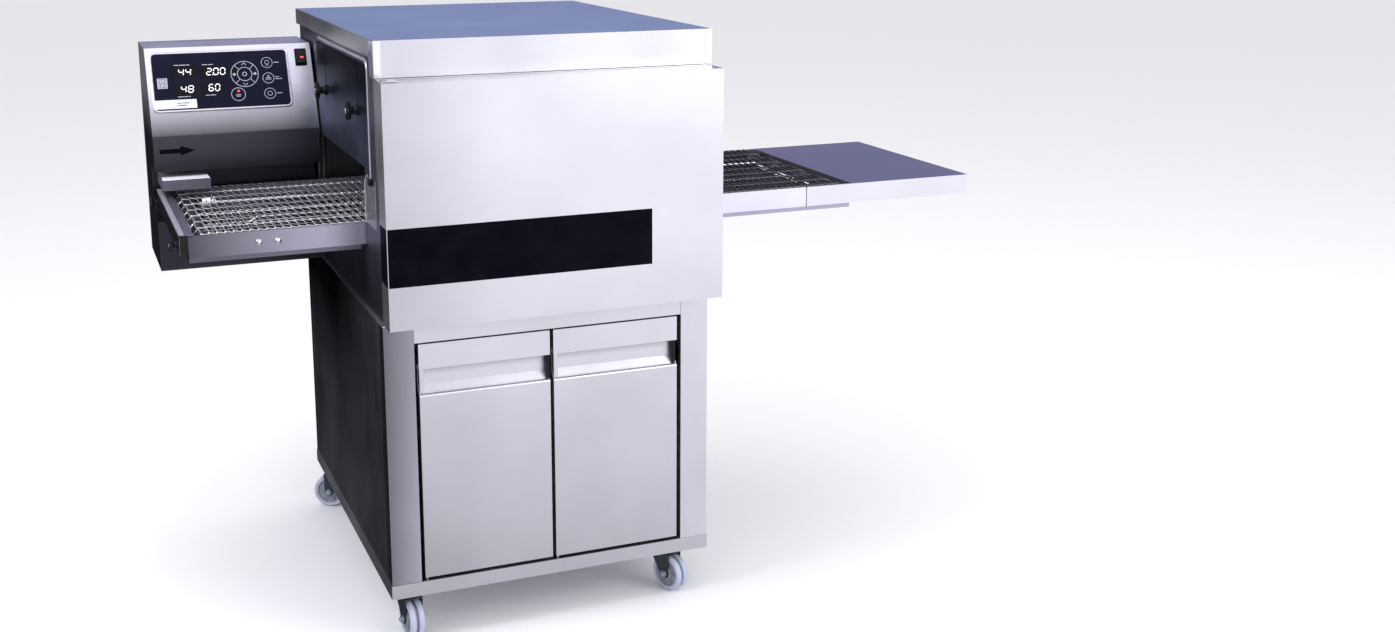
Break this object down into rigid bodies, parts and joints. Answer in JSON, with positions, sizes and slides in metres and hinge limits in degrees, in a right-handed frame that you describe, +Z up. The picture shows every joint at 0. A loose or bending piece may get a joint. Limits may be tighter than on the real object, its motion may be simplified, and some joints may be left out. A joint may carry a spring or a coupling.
{
  "type": "conveyor pizza oven",
  "caption": "Compact electric conveyor pizza oven with wire belt, exit shelf, side control box and full front door, on a two-door stainless cabinet with swivel castors.",
  "frame": {"origin": "on the floor, under the centre of the bounding box", "axes": "+X along the belt from infeed to outfeed, +Y from the front door to the back, +Z up"},
  "size_m": [1.818, 0.938, 1.2425],
  "materials": {
    "brushed_stainless": "fine brushed stainless steel sheet",
    "shaded_stainless": "heat-toned stainless steel",
    "belt_wire": "drawn stainless wire",
    "black_plastic": "satin black moulding",
    "keypad_film": "dark membrane film",
    "mineral_wool": "rigid mineral wool board",
    "glass_braid": "braided glass fibre",
    "heater_sheath": "oxidised heater sheath",
    "motor_paint": "dark paint on cast housings",
    "castor_tread": "pale grey tread on a grey hub",
    "zinc": "zinc-plated pressed steel"
  },
  "bodies": {
    "oven_and_stand": {"stand_base": "brushed_stainless", "stand_left_side": "brushed_stainless", "stand_right_side": "brushed_stainless", "stand_back_panel": "brushed_stainless", "stand_top_frame": "brushed_stainless", "oven_base_pan": "brushed_stainless", "oven_back_panel": "brushed_stainless", "oven_infeed_side": "brushed_stainless", "oven_outfeed_side": "brushed_stainless", "oven_top_cover": "brushed_stainless", "oven_front_frame": "brushed_stainless", "conveyor_front_rail": "brushed_stainless", "conveyor_rear_rail": "brushed_stainless", "conveyor_end_bar": "brushed_stainless", "control_box_casing": "brushed_stainless", "chain_guard": "brushed_stainless", "chamber_liner": "shaded_stainless", "upper_jet_plate": "shaded_stainless", "lower_jet_plate": "shaded_stainless", "drive_chain": "shaded_stainless", "wire_belt": "belt_wire", "keypad_panel": "keypad_film", "insulation_jacket": "mineral_wool", "upper_heating_element": "heater_sheath", "lower_heating_element": "heater_sheath", "fan_motor": "motor_paint", "gear_motor": "motor_paint", "left_door_hinge_rod": "zinc", "right_door_hinge_rod": "zinc", "door_hinge_pin_upper": "zinc", "door_hinge_pin_lower": "zinc"},
    "front_door": {"front_door_shell": "brushed_stainless", "front_door_liner": "brushed_stainless", "door_seal": "glass_braid"},
    "left_door": {"stand_left_door": "brushed_stainless"},
    "right_door": {"stand_right_door": "brushed_stainless"},
    "castor_front_left_swivel_body": {"castor_front_left_fork": "zinc"},
    "castor_front_left_wheel_body": {"castor_front_left_wheel": "castor_tread"},
    "castor_front_right_swivel_body": {"castor_front_right_fork": "zinc"},
    "castor_front_right_wheel_body": {"castor_front_right_wheel": "castor_tread"},
    "castor_rear_left_swivel_body": {"castor_rear_left_fork": "zinc"},
    "castor_rear_left_wheel_body": {"castor_rear_left_wheel": "castor_tread"},
    "castor_rear_right_swivel_body": {"castor_rear_right_fork": "zinc"},
    "castor_rear_right_wheel_body": {"castor_rear_right_wheel": "castor_tread"},
    "infeed_baffle_body": {"infeed_baffle": "shaded_stainless"},
    "outfeed_baffle_body": {"outfeed_baffle": "shaded_stainless"},
    "infeed_knob_front_body": {"infeed_knob_front": "black_plastic"},
    "outfeed_knob_front_body": {"outfeed_knob_front": "black_plastic"},
    "infeed_knob_rear_body": {"infeed_knob_rear": "black_plastic"},
    "outfeed_knob_rear_body": {"outfeed_knob_rear": "black_plastic"},
    "end_bar_knob_front_body": {"end_bar_knob_front": "black_plastic"},
    "end_bar_knob_rear_body": {"end_bar_knob_rear": "black_plastic"},
    "drive_shaft_body": {"drive_shaft": "shaded_stainless"},
    "idler_shaft_body": {"idler_shaft": "shaded_stainless"},
    "motor_sprocket_body": {"motor_sprocket": "shaded_stainless"},
    "convection_fan_body": {"convection_fan": "shaded_stainless"},
    "infeed_tray_body": {"infeed_crumb_tray": "brushed_stainless"},
    "outfeed_tray_body": {"outfeed_crumb_tray": "brushed_stainless"},
    "exit_shelf_body": {"exit_shelf": "brushed_stainless"},
    "rocker_switch_body": {"rocker_switch": "black_plastic"}
  },
  "joints": [
    {"name": "front_door_hinge", "type": "hinge", "parent": "oven_and_stand", "child": "front_door", "pos_m": [-0.523, -0.441, 0.93], "axis": [0, 0, -1], "range_deg": [0, 150]},
    {"name": "stand_left_door_hinge", "type": "hinge", "parent": "oven_and_stand", "child": "left_door", "pos_m": [-0.4565, -0.3845, 0.39], "axis": [0, 0, -1], "range_deg": [0, 100]},
    {"name": "stand_right_door_hinge", "type": "hinge", "parent": "oven_and_stand", "child": "right_door", "pos_m": [-0.1742, -0.3845, 0.39], "axis": [0, 0, -1], "range_deg": [0, 100]},
    {"name": "castor_front_left_swivel", "type": "hinge", "parent": "oven_and_stand", "child": "castor_front_left_swivel_body", "pos_m": [-0.488, -0.333, 0.09], "axis": [0, 0, 1], "continuous": true},
    {"name": "castor_front_left_roll", "type": "hinge", "parent": "castor_front_left_swivel_body", "child": "castor_front_left_wheel_body", "pos_m": [-0.48528, -0.35886, 0.04], "axis": [0.9945, 0.1045, 0], "continuous": true},
    {"name": "castor_front_right_swivel", "type": "hinge", "parent": "oven_and_stand", "child": "castor_front_right_swivel_body", "pos_m": [0.087, -0.333, 0.09], "axis": [0, 0, 1], "continuous": true},
    {"name": "castor_front_right_roll", "type": "hinge", "parent": "castor_front_right_swivel_body", "child": "castor_front_right_wheel_body", "pos_m": [0.09716, -0.35693, 0.04], "axis": [0.9205, 0.3907, 0], "continuous": true},
    {"name": "castor_rear_left_swivel", "type": "hinge", "parent": "oven_and_stand", "child": "castor_rear_left_swivel_body", "pos_m": [-0.488, 0.397, 0.09], "axis": [0, 0, 1], "continuous": true},
    {"name": "castor_rear_left_roll", "type": "hinge", "parent": "castor_rear_left_swivel_body", "child": "castor_rear_left_wheel_body", "pos_m": [-0.51052, 0.41, 0.04], "axis": [-0.5, -0.866, 0], "continuous": true},
    {"name": "castor_rear_right_swivel", "type": "hinge", "parent": "oven_and_stand", "child": "castor_rear_right_swivel_body", "pos_m": [0.087, 0.397, 0.09], "axis": [0, 0, 1], "continuous": true},
    {"name": "castor_rear_right_roll", "type": "hinge", "parent": "castor_rear_right_swivel_body", "child": "castor_rear_right_wheel_body", "pos_m": [0.10078, 0.37495, 0.04], "axis": [0.848, 0.5299, 0], "continuous": true},
    {"name": "infeed_baffle_slide", "type": "slide", "parent": "oven_and_stand", "child": "infeed_baffle_body", "axis": [0, 0, -1], "range_m": [0, 0.09]},
    {"name": "outfeed_baffle_slide", "type": "slide", "parent": "oven_and_stand", "child": "outfeed_baffle_body", "axis": [0, 0, -1], "range_m": [0, 0.09]},
    {"name": "infeed_knob_front_turn", "type": "hinge", "parent": "oven_and_stand", "child": "infeed_knob_front_body", "pos_m": [-0.543, -0.222, 1.087], "axis": [-1, 0, 0], "range_deg": [0, 360]},
    {"name": "outfeed_knob_front_turn", "type": "hinge", "parent": "oven_and_stand", "child": "outfeed_knob_front_body", "pos_m": [0.177, -0.222, 1.087], "axis": [1, 0, 0], "range_deg": [0, 360]},
    {"name": "infeed_knob_rear_turn", "type": "hinge", "parent": "oven_and_stand", "child": "infeed_knob_rear_body", "pos_m": [-0.543, 0.123, 1.087], "axis": [-1, 0, 0], "range_deg": [0, 360]},
    {"name": "outfeed_knob_rear_turn", "type": "hinge", "parent": "oven_and_stand", "child": "outfeed_knob_rear_body", "pos_m": [0.177, 0.123, 1.087], "axis": [1, 0, 0], "range_deg": [0, 360]},
    {"name": "end_bar_knob_front_turn", "type": "hinge", "parent": "oven_and_stand", "child": "end_bar_knob_front_body", "pos_m": [-0.898, -0.212, 0.838], "axis": [-1, 0, 0], "range_deg": [0, 360]},
    {"name": "end_bar_knob_rear_turn", "type": "hinge", "parent": "oven_and_stand", "child": "end_bar_knob_rear_body", "pos_m": [-0.898, 0.248, 0.838], "axis": [-1, 0, 0], "range_deg": [0, 360]},
    {"name": "drive_shaft_spin", "type": "hinge", "parent": "oven_and_stand", "child": "drive_shaft_body", "pos_m": [-0.84, 0.023, 0.842], "axis": [0, 1, 0], "continuous": true},
    {"name": "idler_shaft_spin", "type": "hinge", "parent": "oven_and_stand", "child": "idler_shaft_body", "pos_m": [0.565, 0.023, 0.842], "axis": [0, 1, 0], "continuous": true},
    {"name": "motor_sprocket_spin", "type": "hinge", "parent": "oven_and_stand", "child": "motor_sprocket_body", "pos_m": [-0.84, 0.296, 0.744], "axis": [0, 1, 0], "continuous": true},
    {"name": "convection_fan_spin", "type": "hinge", "parent": "oven_and_stand", "child": "convection_fan_body", "pos_m": [-0.183, 0.323, 0.965], "axis": [0, 1, 0], "continuous": true},
    {"name": "infeed_crumb_tray_slide", "type": "slide", "parent": "oven_and_stand", "child": "infeed_tray_body", "axis": [-1, 0, 0], "range_m": [0, 0.3]},
    {"name": "outfeed_crumb_tray_slide", "type": "slide", "parent": "oven_and_stand", "child": "outfeed_tray_body", "axis": [1, 0, 0], "range_m": [0, 0.3]},
    {"name": "exit_shelf_slide", "type": "slide", "parent": "oven_and_stand", "child": "exit_shelf_body", "axis": [1, 0, 0], "range_m": [0, 0.12]},
    {"name": "rocker_switch_rock", "type": "hinge", "parent": "oven_and_stand", "child": "rocker_switch_body", "pos_m": [-0.5563, 0.28251, 1.145], "axis": [1, 0, 0], "range_deg": [0, 16]}
  ],
  "couplings": [
    {"joint": "idler_shaft_spin", "follows": "drive_shaft_spin", "ratio": 1},
    {"joint": "motor_sprocket_spin", "follows": "drive_shaft_spin", "ratio": 1}
  ]
}
